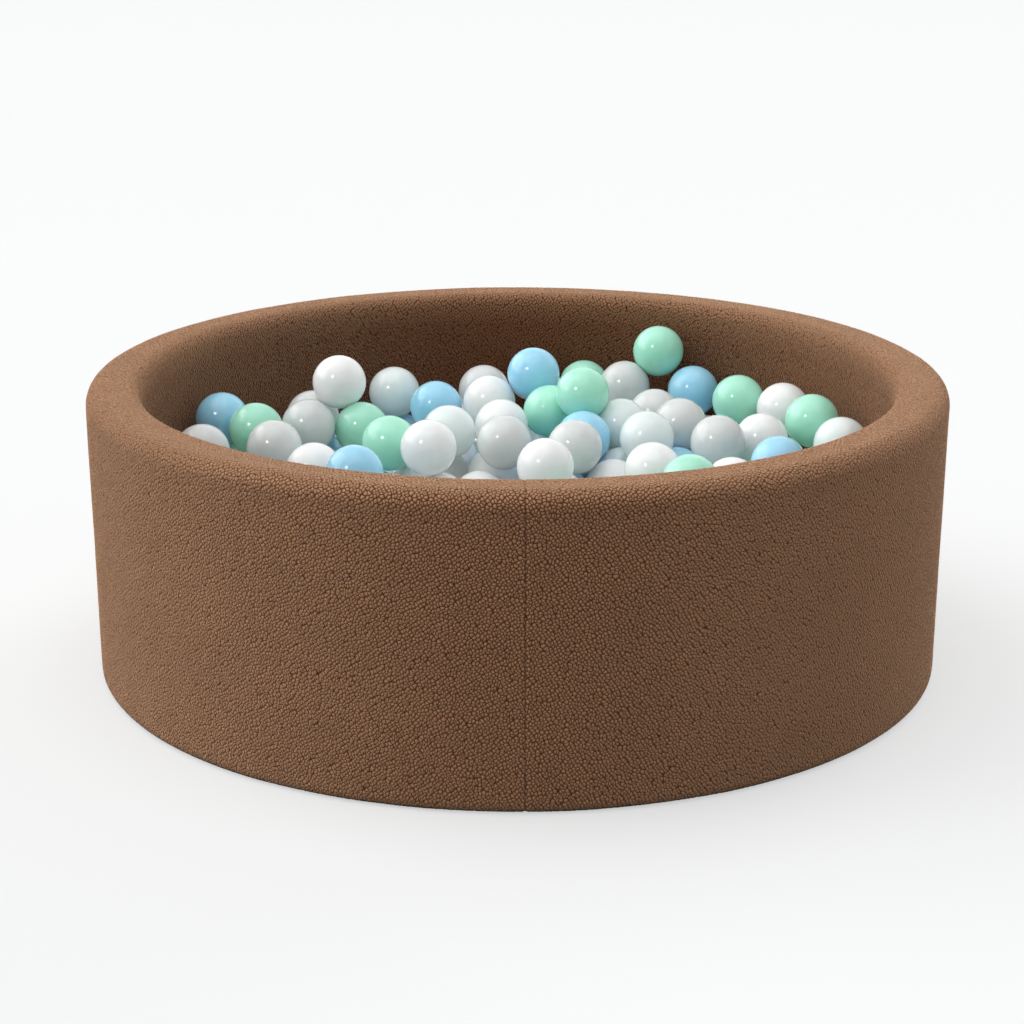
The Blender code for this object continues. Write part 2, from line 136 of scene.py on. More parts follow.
def linear(hex_colour):
    """An sRGB hex colour as the linear values that Blender's shaders take."""
    values = [int(hex_colour[i:i + 2], 16) / 255 for i in (0, 2, 4)]
    return tuple(v / 12.92 if v <= 0.04045 else ((v + 0.055) / 1.055) ** 2.4 for v in values)


def feed(node, inputs):
    """Sets inputs of a node. A socket, or the first output of another node, is linked to the
    input, and anything else is its value."""
    for name, source in inputs.items():
        if isinstance(source, bpy.types.Node):
            source = source.outputs[0]
        if isinstance(source, bpy.types.NodeSocket):
            node.id_data.links.new(source, node.inputs[name])
        else:
            node.inputs[name].default_value = source


def add_node(tree, kind, inputs=(), **settings):
    """Adds one node to a tree, with its inputs and settings. What makes a tree hands this on,
    bound to that tree, as add."""
    node = tree.nodes.new(kind)
    for name, setting in settings.items():
        setattr(node, name, setting)
    feed(node, dict(inputs))
    return node


def colour_property(name, description, hex_colour):
    return FloatVectorProperty(name=name, description=description, subtype="COLOR", size=3,
                               min=0, max=1, default=linear(hex_colour))


def length_property(name, length, description):
    return FloatProperty(name=name, description=description, unit="LENGTH", default=length)


class CoverSettings(bpy.types.PropertyGroup):
    nub_pitch: length_property("Nub pitch", 3.3 * MM,
                               "Distance from one loop of the pile to the next")
    pile_height: length_property("Pile height", 1.7 * MM,
                                 "From the bottom of the pile to the top of a loop")
    facet: length_property("Facet", 1.55 * MM, "Spacing of the mesh that carries the loops")
    seam_width: length_property("Seam width", 2.4 * MM,
                                "Width of the dip along the cover's front seam")
    seam_depth: length_property("Seam depth", 0.9 * MM,
                                "Depth of the dip along the cover's front seam")
    softness: length_property("Softness", 0.7 * MM, "How far the cloth strays from a true round")
    puff: length_property("Puff", 1.5 * MM,
                          "Most that the foam pushes the cloth out between its seams")
    yarn: colour_property("Yarn", "Colour of the tops of the loops", "C28C66")
    # The shade colour is painted shade for the gaps between the loops
    shade: colour_property("Shade", "Colour between the loops", "3A1400")


class FloorSettings(bpy.types.PropertyGroup):
    foam: colour_property("Foam", "Colour of the wall's and the mat's foam", "E9E2CE")
    lining: colour_property("Lining", "Colour of the cloth over the mat", "6E5240")
    base: colour_property("Base", "Colour of the cloth under the pit", "3A302A")
    pore: length_property("Pore", 1.2 * MM, "Width of the foam's larger pores")
    thread: length_property("Thread", 0.9 * MM, "Thread spacing of the lining and the base cloth")


class ZipSettings(bpy.types.PropertyGroup):
    tooth_pitch: length_property("Tooth pitch", 1.5 * MM,
                                 "Distance from one tooth of a row to the next")
    stitch_pitch: length_property("Stitch pitch", 2.6 * MM,
                                  "Distance from one stitch of a tape to the next")
    tape: colour_property("Tape", "Colour of the tapes", "8A6A52")
    teeth: colour_property("Teeth", "Colour of the nylon coil", "75573F")
    metal: colour_property("Metal", "Colour of the slider, pull and stops", "9A9084")


class BallSettings(bpy.types.PropertyGroup):
    ridge: length_property("Parting line", 0.06 * MM,
                           "Height of the line that the mould leaves round a ball")
    white: colour_property("White", "Colour of the white balls", "F6F8F8")
    grey: colour_property("Grey", "Colour of the grey balls", "D9DCDB")
    pearl: colour_property("Pearl", "Colour of the pale balls", "E8F3F1")
    mint: colour_property("Mint", "Colour of the mint balls", "AEEED5")
    blue: colour_property("Blue", "Colour of the blue balls", "A4DCFF")


class StageSettings(bpy.types.PropertyGroup):
    camera_distance: length_property("Camera distance", 2.5328,
                                     "From the pit's axis, over the floor")
    camera_height: length_property("Camera height", 0.9296, "Above the floor")
    camera_tilt: FloatProperty(name="Camera tilt", default=math.radians(16.988), unit="ROTATION",
                               description="How far the camera looks down")
    camera_turn: FloatProperty(name="Camera turn", default=math.radians(0.136), unit="ROTATION",
                               description="How far the camera looks past the pit's axis")
    lens: FloatProperty(name="Lens", default=86.23, unit="CAMERA", description="Focal length")
    floor: colour_property("Floor", "Colour of the floor and the backdrop", "F8F9F9")


def settings(name):
    return getattr(bpy.context.scene, "ball_pit_" + name)


def mesh_object(name, verts, faces):
    """A new object with faces that point outwards, from arrays or lists."""
    verts = np.asarray(verts, float)
    mesh = bpy.data.meshes.new(name)
    mesh.from_pydata(verts.tolist(), [], [list(face) for face in faces])
    mesh.update()
    mesh.calc_loop_triangles()
    corners = np.empty(len(mesh.loop_triangles) * 3, np.int32)
    mesh.loop_triangles.foreach_get("vertices", corners)
    a, b, c = np.moveaxis(verts[corners.reshape(-1, 3)], 1, 0)
    if (np.cross(a, b) * c).sum() < 0:
        mesh.flip_normals()
    mesh.shade_smooth()
    return link_to_scene(name, mesh)


def revolve(profile, columns, start=0.0, span=math.tau):
    """Points, faces and rows of points of a profile of (r, z) turned about Z. A point on the
    axis becomes a pole."""
    full = span >= math.tau
    lines = columns if full else columns + 1
    angles = start + span * np.arange(lines) / columns
    verts, rows = [], []
    for r, z in profile:
        if r < 1e-9:
            rows.append([len(verts)] * lines)
            verts.append((0, 0, z))
        else:
            rows.append(list(range(len(verts), len(verts) + lines)))
            verts += [(r * math.cos(a), r * math.sin(a), z) for a in angles]
    faces = []
    for i in range(columns):
        j = (i + 1) % lines
        for lower, upper in zip(rows, rows[1:]):
            face = list(dict.fromkeys((lower[i], lower[j], upper[j], upper[i])))
            if len(face) > 2:
                faces.append(face)
    return verts, faces, rows


def arc(centre, radius, start_deg, end_deg, steps):
    angles = [math.radians(start_deg + (end_deg - start_deg) * i / steps)
              for i in range(steps + 1)]
    return [(centre[0] + radius * math.cos(a), centre[1] + radius * math.sin(a)) for a in angles]


def lengths_along(profile):
    """Distance of each point of a profile from its start."""
    steps = [math.dist(a, b) for a, b in zip(profile, profile[1:])]
    return np.concatenate(([0], np.cumsum(steps)))


def sweep(section, columns, start, span=math.tau):
    """Points and faces of a closed section swept about Z: all the way round, or part of the
    way with capped ends."""
    verts, faces, rows = revolve(section + section[:1], columns, start, span)
    count = len(section) * len(rows[0])
    faces = [[v % count for v in face] for face in faces]
    if span < math.tau:
        faces += [[row[0] for row in rows[:-1]], [row[-1] for row in reversed(rows[:-1])]]
    return verts[:count], faces


def corner_points(mesh):
    """The point that each corner of the mesh's faces stands on."""
    corners = np.empty(len(mesh.loops), np.int32)
    mesh.loops.foreach_get("vertex_index", corners)
    return corners


def lay_cloth_map(mesh, u, v):
    """Gives the mesh its cloth map, in metres, from the u and v of each corner."""
    layer = mesh.uv_layers.new(name="cloth")
    layer.data.foreach_set("uv", np.stack([u, v], 1).astype(np.float32).ravel())


def set_attribute(mesh, name, values):
    """Gives each point of the mesh a number, or a vector, under this name."""
    values = np.asarray(values, np.float32)
    kind, key = ("FLOAT_VECTOR", "vector") if values.ndim > 1 else ("FLOAT", "value")
    mesh.attributes.new(name, kind, "POINT").data.foreach_set(key, values.ravel())


def link_to_scene(name, data):
    made = bpy.data.objects.new(name, data)
    bpy.context.scene.collection.objects.link(made)
    return made


def run_tree(piece, tree, values):
    """Runs a geometry tree on the piece and keeps the result as its plain mesh."""
    modifier = piece.modifiers.new(tree.name, "NODES")
    modifier.node_group = tree
    for item in tree.interface.items_tree:
        if item.in_out == "INPUT" and item.name in values:
            modifier[item.identifier] = values[item.name]
    depsgraph = bpy.context.evaluated_depsgraph_get()
    mesh = bpy.data.meshes.new_from_object(piece.evaluated_get(depsgraph), depsgraph=depsgraph,
                                           preserve_all_data_layers=True)
    piece.modifiers.remove(modifier)
    piece.data = mesh


def new_tree(name, kind, *labels):
    """An empty geometry tree with its named inputs, all of one kind; its start node; and add
    for it."""
    tree = bpy.data.node_groups.new(name, "GeometryNodeTree")
    tree.interface.new_socket("Geometry", in_out="INPUT", socket_type="NodeSocketGeometry")
    for label in labels:
        tree.interface.new_socket(label, in_out="INPUT", socket_type=kind)
    tree.interface.new_socket("Geometry", in_out="OUTPUT", socket_type="NodeSocketGeometry")
    add = partial(add_node, tree)
    return tree, add("NodeGroupInput"), add


def end_tree(add, shape, material):
    """Ends a geometry tree: its instances made real, and dressed in the material."""
    real = add("GeometryNodeRealizeInstances", {"Geometry": shape})
    dressed = add("GeometryNodeSetMaterial", {"Geometry": real, "Material": material})
    add("NodeGroupOutput", {0: dressed})


def put(piece, body, slot, *nodes):
    """Hangs a finished piece on its body, in place of the construction's solids."""
    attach(piece, body)
    if nodes:
        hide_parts(*nodes)


def new_material(name, **sockets):
    """A material with its shader's own sockets set; its shader; and add for its tree."""
    made = bpy.data.materials.new(name)
    made.use_nodes = True
    shader = made.node_tree.nodes["Principled BSDF"]
    for socket, value in sockets.items():
        shader.inputs[socket.replace("_", " ")].default_value = value
    return made, shader, partial(add_node, made.node_tree)


def mottled(add, colour, noise, share, seen=(0.0, 1.0)):
    """A colour, or a node's colour, made darker and lighter from one share of it to the other,
    as a noise goes between the two values seen in it."""
    shade = add("ShaderNodeMapRange", {0: noise, 1: seen[0], 2: seen[1], 3: share[0], 4: share[1]})
    return add("ShaderNodeVectorMath", {0: colour, "Scale": shade}, operation="SCALE")


def pile_nodes(add, place, pitch):
    """Height of the looped pile, 0 to 1, at a place on the cloth in metres: rounded nubs that
    press on each other, with a narrow gap round each and a pit where several meet, both painted
    dark as shade by the cover's material. The yarn's own loops are too fine to show, so each nub
    stands for a few of them."""
    wander = add("ShaderNodeTexNoise",
                 {"Scale": 1 / (4.5 * pitch), "Detail": 1.0, "Vector": place})
    centred = add("ShaderNodeVectorMath", {0: wander.outputs["Color"], 1: (0.5, 0.5, 0.5)},
                  operation="SUBTRACT")
    spread = add("ShaderNodeVectorMath", {0: centred, "Scale": 1.6 * pitch}, operation="SCALE")
    warped = add("ShaderNodeVectorMath", {0: place, 1: spread}, operation="ADD")
    # The rows of nubs run at a slant, so no row lines up with the wall's upright or level
    slanted = add("ShaderNodeVectorRotate", {"Angle": math.radians(32), "Vector": warped},
                  rotation_type="Z_AXIS")
    from_middle, from_edge = (
        add("ShaderNodeTexVoronoi", {"Scale": 1 / pitch, "Randomness": 0.74, "Vector": slanted},
            voronoi_dimensions="2D", feature=feature).outputs["Distance"]
        for feature in ("F1", "DISTANCE_TO_EDGE"))
    inward = add("ShaderNodeMath", {0: from_edge, 1: 5.5}, operation="MULTIPLY", use_clamp=True)
    sides = add("ShaderNodeMath", {0: inward, 1: 0.8}, operation="POWER")
    away = add("ShaderNodeMath", {0: from_middle, 1: 1.08}, operation="MULTIPLY")
    fall = add("ShaderNodeMath", {0: away, 1: 2.0}, operation="POWER")
    dome = add("ShaderNodeMath", {0: 1.0, 1: fall}, operation="SUBTRACT", use_clamp=True)
    return add("ShaderNodeMath", {0: dome, 1: sides}, operation="MULTIPLY")


def boucle_material():
    """Looped boucle pile, knitted from curled polyester yarn: matt, with painted shade that
    darkens the gaps between the loops, and a pale bloom where it is seen at a slant."""
    cover = settings("cover")
    made, shader, add = new_material("looped_boucle_pile", Roughness=0.92, Sheen_Weight=1.0,
                                     Sheen_Roughness=0.28, Specular_IOR_Level=0.25,
                                     Sheen_Tint=(*linear("F2D0AE"), 1))
    uv = add("ShaderNodeUVMap", uv_map="cloth")
    pile = pile_nodes(add, uv, cover.nub_pitch)
    # Painted shade: the lower the pile, the more of the dark shade colour
    lit = add("ShaderNodeMapRange", {0: pile, 1: 0.0, 2: 0.95})
    yarn = add("ShaderNodeMixRGB",
               {"Color1": (*cover.shade, 1), "Color2": (*cover.yarn, 1), "Fac": lit})

    # Painted shade: the inside of the wall is darker below the rim's round, where the pit shades
    # it
    across = add("ShaderNodeSeparateXYZ", {0: uv})
    inside = PIT_HEIGHT - LINING_BOX[0].z
    painted_inner_shade = add("ShaderNodeMapRange",
                 {0: across.outputs[1], 1: inside - 35 * MM, 2: inside + 5 * MM, 3: 1.0, 4: 0.0})
    colour = add("ShaderNodeMixRGB",
                 {"Color1": yarn, "Color2": (*linear("BAA693"), 1), "Fac": painted_inner_shade},
                 blend_type="MULTIPLY")

    # Curled fibres are 0.03 mm thick, too fine to show, so their fleck is drawn at 1.2 mm
    fibre, dye = (
        add("ShaderNodeTexNoise", {"Scale": 1 / size, "Detail": 2.0, "Roughness": roughness,
                                   "Vector": uv}).outputs["Fac"]
        for size, roughness in ((1.2 * MM, 0.6), (70 * MM, 0.5)))
    for noise, share in ((fibre, (0.78, 1.18)), (dye, (0.96, 1.04))):
        colour = mottled(add, colour, noise, share, (0.3, 0.7))

    # A dark line along the front seam, with the pile pushed up pale on either side
    half_way = math.pi * RIM_RADIUS
    beyond = add("ShaderNodeMath", {0: across, 1: half_way}, operation="SUBTRACT")
    folded = add("ShaderNodeMath", {0: beyond}, operation="ABSOLUTE")
    from_seam = add("ShaderNodeMath", {0: half_way, 1: folded}, operation="SUBTRACT")
    near = add("ShaderNodeMapRange", {0: from_seam, 1: -5 * MM, 2: 5 * MM})
    seam = add("ShaderNodeValToRGB", {"Fac": near})
    ramp = seam.color_ramp.elements
    ramp[0].position, ramp[0].color = 0.5, (0.6, 0.6, 0.6, 1)
    for position, value in ((0.56, 0.66), (0.64, 1.08), (0.78, 1.08)):
        ramp.new(position).color = (value, value, value, 1)
    colour = add("ShaderNodeVectorMath", {0: colour, "Scale": seam}, operation="SCALE")

    # Painted contact shadow: the foot takes half the base cloth's colour where it turns under to
    # the floor
    place = add("ShaderNodeTexCoord")
    above = add("ShaderNodeSeparateXYZ", {0: place.outputs["Object"]})
    painted_foot_shadow_mask = add("ShaderNodeMapRange",
                {0: above.outputs[2], 1: 3.0 * MM, 2: 4.6 * MM, 3: 1.0, 4: 0.0})
    painted_foot_shadow_colour = (0.5 * value for value in settings("floor").base)
    colour = add("ShaderNodeMixRGB", {"Color1": colour, "Color2": (*painted_foot_shadow_colour, 1), "Fac": painted_foot_shadow_mask})
    curl = add("ShaderNodeMath", {0: fibre, 1: 0.16}, operation="MULTIPLY")
    height = add("ShaderNodeMath", {0: pile, 1: curl}, operation="ADD")
    bump = add("ShaderNodeBump",
               {"Strength": 1.0, "Distance": BUMP_SHARE * cover.pile_height, "Height": height})
    feed(shader, {"Base Color": colour, "Normal": bump})
    return made


def foam_material():
    """Open-cell polyurethane foam, cut from a block: pale, matt and full of fine pores."""
    name = "cut_polyurethane_foam"
    if name in bpy.data.materials:
        return bpy.data.materials[name]
    floor = settings("floor")
    made, shader, add = new_material(name, Roughness=0.9, Sheen_Weight=0.1)
    place = add("ShaderNodeTexCoord")
    pores = add("ShaderNodeTexVoronoi",
                {"Scale": 1 / floor.pore, "Vector": place.outputs["Object"]})
    depth = add("ShaderNodeMapRange", {0: pores, 1: 0.0, 2: 0.5})
    dark = (0.72 * value for value in floor.foam)
    colour = add("ShaderNodeMixRGB",
                 {"Color1": (*dark, 1), "Color2": (*floor.foam, 1), "Fac": depth})
    bump = add("ShaderNodeBump", {"Strength": 0.6, "Distance": 0.4 * MM, "Height": depth})
    feed(shader, {"Base Color": colour, "Normal": bump})
    return made


def woven_material(name, colour, thread, roughness=0.85):
    """Plain-woven polyester cloth: threads over and under, with darker gaps between them. The
    real threads are too fine to show, so they are drawn about three times as wide."""
    made, shader, add = new_material(name, Roughness=roughness, Sheen_Weight=0.2,
                                     Sheen_Roughness=0.5, Specular_IOR_Level=0.3)
    uv = add("ShaderNodeUVMap", uv_map="cloth")
    parts = add("ShaderNodeSeparateXYZ", {0: uv})
    waves = []
    for axis in parts.outputs[:2]:
        turned = add("ShaderNodeMath", {0: axis, 1: math.pi / thread}, operation="MULTIPLY")
        waves.append(add("ShaderNodeMath", {0: turned}, operation="SINE"))
    product = add("ShaderNodeMath", {0: waves[0], 1: waves[1]}, operation="MULTIPLY")
    over = add("ShaderNodeMapRange", {0: product, 1: -1.0, 2: 1.0})
    noise = add("ShaderNodeTexNoise", {"Scale": 1 / (4 * thread), "Detail": 3.0, "Vector": uv})
    tone = add("ShaderNodeMath", {0: over, 1: 0.5}, operation="MULTIPLY")
    mixed = add("ShaderNodeMath", {0: tone, 1: noise.outputs["Fac"]}, operation="ADD")
    bump = add("ShaderNodeBump", {"Strength": 0.6, "Distance": 0.3 * thread, "Height": over})
    feed(shader, {"Base Color": mottled(add, colour, mixed, (0.7, 1.15), (0.3, 1.2)),
                  "Normal": bump})
    return made


def nylon_material():
    """Nylon monofilament of the zip's coil: satin, a little uneven from the dye."""
    made, shader, add = new_material("dyed_nylon_coil", Roughness=0.42)
    place = add("ShaderNodeTexCoord")
    noise = add("ShaderNodeTexNoise", {"Scale": 1 / (3 * MM), "Detail": 2.0,
                                       "Vector": place.outputs["Object"]}).outputs["Fac"]
    feed(shader, {"Base Color": mottled(add, settings("zip").teeth, noise, (0.85, 1.15))})
    return made


def metal_material():
    """Die-cast zinc of the slider, pull and stops, tumbled: dull, with small pits. The real
    pits are too fine to show, so they are drawn at 1.5 mm."""
    made, shader, add = new_material("tumbled_zinc", Metallic=1.0)
    place = add("ShaderNodeTexCoord")
    noise = add("ShaderNodeTexNoise", {"Scale": 1 / (1.5 * MM), "Detail": 3.0,
                                       "Vector": place.outputs["Object"]}).outputs["Fac"]
    rough = add("ShaderNodeMapRange", {0: noise, 3: 0.28, 4: 0.5})
    bump = add("ShaderNodeBump", {"Strength": 0.3, "Distance": 0.05 * MM, "Height": noise})
    feed(shader, {"Base Color": mottled(add, settings("zip").metal, noise, (0.85, 1.1)),
                  "Roughness": rough, "Normal": bump})
    return made


def ball_material(colour_name):
    """Blow-moulded polyethylene: smooth and glossy, its wall a little thicker here and there,
    with the light scuffs that balls get from rubbing on each other."""
    name = f"blown_polyethylene_{colour_name}"
    if name in bpy.data.materials:
        return bpy.data.materials[name]
    made, shader, add = new_material(name, IOR=1.51, Subsurface_Weight=0.7,
                                     Subsurface_Scale=30 * MM, Subsurface_Radius=(1, 1, 1))
    place = add("ShaderNodeTexCoord")
    wall, scuff = (
        add("ShaderNodeTexNoise", {"Scale": 1 / size, "Detail": detail, "Roughness": roughness,
                                   "Vector": place.outputs["Object"]}).outputs["Fac"]
        for size, detail, roughness in ((26 * MM, 2.0, 0.5), (5 * MM, 4.0, 0.65)))
    rough = add("ShaderNodeMapRange", {0: scuff, 1: 0.35, 2: 0.75, 3: 0.13, 4: 0.19})
    colour = getattr(settings("balls"), colour_name)
    feed(shader, {"Base Color": mottled(add, colour, wall, (0.97, 1.02), (0.3, 0.7)),
                  "Roughness": rough})
    return made


def wall_face(z):
    """Radius of the cover's outside at a height."""
    low, high = FOOT_ROUND, PIT_HEIGHT - RIM_OUTER_ROUND
    return FOOT_RADIUS + WALL_DRAW * (z - low) / (high - low)


def wall_profile(facet):
    """The cover's closed section: up the inside, over the rim, down the outside, under the
    hem, and back along the foam. Also says how many of its points are on the pile side."""
    inner_rim = RIM_RADIUS - WALL_THICKNESS
    inner_foot = FOOT_RADIUS - WALL_THICKNESS
    outer_round = (RIM_RADIUS - RIM_OUTER_ROUND, PIT_HEIGHT - RIM_OUTER_ROUND)
    inner_round = (inner_rim + RIM_INNER_ROUND, PIT_HEIGHT - RIM_INNER_ROUND)
    foot_round = (FOOT_RADIUS - FOOT_ROUND, FOOT_ROUND)
    low, high = LINING_BOX[0].z, inner_round[1]
    buried = LOWER_LEVEL - BALL_RADIUS / 2

    def levels(start, end, length):
        return list(np.linspace(start, end, round(abs(end - start) / length), endpoint=False))

    def turn(centre, radius, start_deg, end_deg):
        steps = max(3, round(abs(math.radians(end_deg - start_deg)) * radius / facet))
        return arc(centre, radius, start_deg, end_deg, steps)[:-1]

    def run(start, end):
        steps = max(1, round(math.dist(start, end) / facet))
        return [(start[0] + (end[0] - start[0]) * i / steps,
                 start[1] + (end[1] - start[1]) * i / steps) for i in range(steps)]

    points = [(inner_foot + (inner_rim - inner_foot) * (z - low) / (high - low), z)
              for z in levels(low, buried, HIDDEN_FACET) + levels(buried, high, facet)]
    points += turn(inner_round, RIM_INNER_ROUND, 180, 90)
    points += run((inner_round[0], PIT_HEIGHT), (outer_round[0], PIT_HEIGHT))
    points += turn(outer_round, RIM_OUTER_ROUND, 90, 0)
    outside = list(np.linspace(outer_round[1], MOUTH_TOP + LIP,
                               round((outer_round[1] - MOUTH_TOP) / facet), endpoint=False))
    outside += [MOUTH_TOP + LIP, *np.linspace(MOUTH_TOP - LIP / 2, MOUTH_BOTTOM + LIP / 2, 8),
                MOUTH_BOTTOM - LIP, (MOUTH_BOTTOM + FOOT_ROUND) / 2]
    points += [(wall_face(z), z) for z in outside]
    points += turn(foot_round, FOOT_ROUND, 0, -90)
    points += run((foot_round[0], 0), (HEM_EDGE, 0))
    points.append((HEM_EDGE, 0))

    t = CLOTH_THICKNESS
    back = [(HEM_EDGE, t), (foot_round[0], t)]
    back += arc(foot_round, FOOT_ROUND - t, -45, 0, 2)
    back += arc(outer_round, RIM_OUTER_ROUND - t, 0, 90, 4)
    back += arc(inner_round, RIM_INNER_ROUND - t, 90, 180, 4)
    back.append((inner_foot + t, low))
    return points + back, len(points)


def pile_tree(material):
    """Raises the loops of the pile from the cloth, and sinks the front seam between them."""
    tree, start, add = new_tree("Looped pile", "NodeSocketFloat", "Height", "Seam width",
                                "Seam depth", "Softness")
    place = add("GeometryNodeInputNamedAttribute", {"Name": "strip"}, data_type="FLOAT_VECTOR")
    shown, from_seam, puff = (
        add("GeometryNodeInputNamedAttribute", {"Name": name}, data_type="FLOAT")
        for name in ("shown", "from_seam", "puff"))
    pile = pile_nodes(add, place, settings("cover").nub_pitch)
    position = add("GeometryNodeInputPosition")
    slow = add("ShaderNodeTexNoise", {"Scale": 1 / (110 * MM), "Detail": 2.0, "Vector": position})
    loops, soft = (
        add("ShaderNodeMath", {0: add("ShaderNodeMath", {0: wave, 1: 0.5}, operation="SUBTRACT"),
                               1: start.outputs[size]}, operation="MULTIPLY")
        for wave, size in ((pile, "Height"), (slow.outputs["Fac"], "Softness")))
    near = add("ShaderNodeMapRange",
               {0: from_seam, 1: 0.0, 2: start.outputs["Seam width"], 3: 1.0, 4: 0.0},
               interpolation_type="SMOOTHSTEP")
    dip = add("ShaderNodeMath", {0: near, 1: start.outputs["Seam depth"]}, operation="MULTIPLY")
    height = loops
    for operation, other in (("ADD", soft), ("ADD", puff), ("SUBTRACT", dip),
                             ("MULTIPLY", shown)):
        height = add("ShaderNodeMath", {0: height, 1: other}, operation=operation)
    normal = add("GeometryNodeInputNormal")
    offset = add("ShaderNodeVectorMath", {0: normal, "Scale": height}, operation="SCALE")
    moved = add("GeometryNodeSetPosition", {"Geometry": start, "Offset": offset})
    # Nothing of the cover goes below the floor
    there = add("GeometryNodeInputPosition")
    parts = add("ShaderNodeSeparateXYZ", {0: there})
    above = add("ShaderNodeMath", {0: parts.outputs[2], 1: 0.0}, operation="MAXIMUM")
    stood = add("ShaderNodeCombineXYZ", {0: parts, 1: parts.outputs[1], 2: above})
    rested = add("GeometryNodeSetPosition", {"Geometry": moved, "Position": stood})
    end_tree(add, rested, material)
    return tree


def in_mouth(columns):
    """Which columns of the cover, counted round from its seam, cross the zip's mouth."""
    angles = (SEAM_ANGLE + math.tau * np.arange(columns) / columns) % math.tau
    return (angles > MOUTH_ANGLES[0]) & (angles < MOUTH_ANGLES[1])


def settled_puff(profile, columns, cap):
    """How far the foam pushes the cloth out at each point of the profile and each column.
    A coarse copy of the cloth, sewn down at the lining, the hem, the seam and the zip, settles
    in Blender's cloth solver, and its movement is read back as a smooth field."""
    rows, around, steps = 44, 192, 20
    lengths = lengths_along(profile)
    places = np.linspace(0, lengths[-1], rows)
    r, z = (np.interp(places, lengths, values) for values in zip(*profile))
    verts, faces, _ = revolve(list(zip(r, z)), around, SEAM_ANGLE)
    cloth = mesh_object("cloth in the solver", verts, faces)
    sewn = np.zeros((rows, around))
    sewn[0] = sewn[-1] = 1
    sewn[:, 0] = 0.6
    at_zip = (z < MOUTH_TOP + 4 * MM) & (r > FOOT_RADIUS - MM)
    sewn[np.ix_(at_zip, in_mouth(around))] = 1
    pins = cloth.vertex_groups.new(name="sewn")
    for index, weight in enumerate(sewn.ravel()):
        if weight:
            pins.add([index], float(weight), "REPLACE")
    solver = cloth.modifiers.new("Cloth", "CLOTH")
    for name, value in (("vertex_group_mass", "sewn"), ("quality", 4), ("mass", 0.2),
                        ("tension_stiffness", 25), ("compression_stiffness", 25),
                        ("bending_stiffness", 2), ("air_damping", 3), ("use_pressure", True),
                        ("uniform_pressure_force", 4)):
        setattr(solver.settings, name, value)
    solver.settings.effector_weights.gravity = 0
    solver.collision_settings.use_collision = False
    scene = bpy.context.scene
    for step in range(1, steps + 1):
        scene.frame_set(step)
    settled = cloth.evaluated_get(bpy.context.evaluated_depsgraph_get())
    after = np.empty(3 * len(verts), np.float32)
    settled.data.vertices.foreach_get("co", after)
    scene.frame_set(1)
    moved = np.linalg.norm(after.reshape(-1, 3) - np.array(verts), axis=1)
    bpy.data.objects.remove(cloth)

    # Held under the cap, evened out round the pit, and read off at the fine mesh's points
    moved = cap * np.tanh(moved.reshape(rows, around) / cap)
    for _ in range(2):
        moved = (moved + np.roll(moved, 1, 1) + np.roll(moved, -1, 1)) / 3
    s = np.interp(lengths, places, np.arange(rows))
    low = np.minimum(s.astype(int), rows - 2)
    share = (s - low)[:, None]
    by_row = moved[low] * (1 - share) + moved[low + 1] * share
    t = np.arange(columns) * around / columns
    left = t.astype(int) % around
    share = (t - np.floor(t))[None]
    share = share * share * (3 - 2 * share)
    return by_row[:, left] * (1 - share) + by_row[:, (left + 1) % around] * share


def carried_over(values, whole):
    """Map values at the corners of four-sided faces. In a face that crosses the line where
    they start again at 0, they go on past the whole length instead."""
    values = values.reshape(-1, 4)
    crossing = values.max(1) - values.min(1) > whole / 2
    values[crossing] += np.where(values[crossing] < whole / 2, whole, 0)
    return values.ravel()


class BALLPIT_OT_cover(bpy.types.Operator):
    """Makes the looped pile cover of the wall"""
    bl_idname = "ball_pit.cover"
    bl_label = "Wall cover"

    def execute(self, context):
        cover = settings("cover")
        profile, shown = wall_profile(cover.facet)
        columns = round(math.tau * RIM_RADIUS / cover.facet)
        verts, faces = sweep(profile, columns, SEAM_ANGLE)
        verts = np.array(verts)
        at_mouth = [i < shown and MOUTH_BOTTOM < z < MOUTH_TOP and r > FOOT_RADIUS - MM
                    for i, (r, z) in enumerate(profile)]
        sunk = np.outer(at_mouth, in_mouth(columns)).ravel()
        verts[sunk, :2] *= MOUTH_FLOOR / np.hypot(*verts[sunk, :2].T)[:, None]
        piece = mesh_object("boucle_cover", verts, faces)

        lengths = lengths_along(profile)
        girth = RIM_RADIUS * math.tau
        around = girth * np.arange(columns) / columns
        u = np.tile(around, len(profile))
        v = np.repeat(lengths, columns)
        raised = np.zeros(len(profile))
        raised[2:shown - 3] = 1
        raised = np.repeat(raised, columns)
        raised[sunk] = 0
        puff = np.zeros((len(profile), columns))
        puff[:shown] = settled_puff(profile[:shown], columns, cover.puff)
        for name, values in (
                ("strip", np.stack([u, v, np.zeros_like(u)], 1)), ("shown", raised),
                ("puff", puff.ravel()),
                ("from_seam", np.tile(np.minimum(around, girth - around), len(profile)))):
            set_attribute(piece.data, name, values)
        corners = corner_points(piece.data)
        section_length = lengths[-1] + math.dist(profile[-1], profile[0])
        lay_cloth_map(piece.data, carried_over(u[corners], girth),
                      carried_over(v[corners], section_length))

        run_tree(piece, pile_tree(boucle_material()), {
            "Height": RELIEF_SHARE * cover.pile_height, "Seam width": cover.seam_width,
            "Seam depth": cover.seam_depth, "Softness": 2 * cover.softness})
        put(piece, PIT, "boucle_cover", "wall_cover")
        return {"FINISHED"}


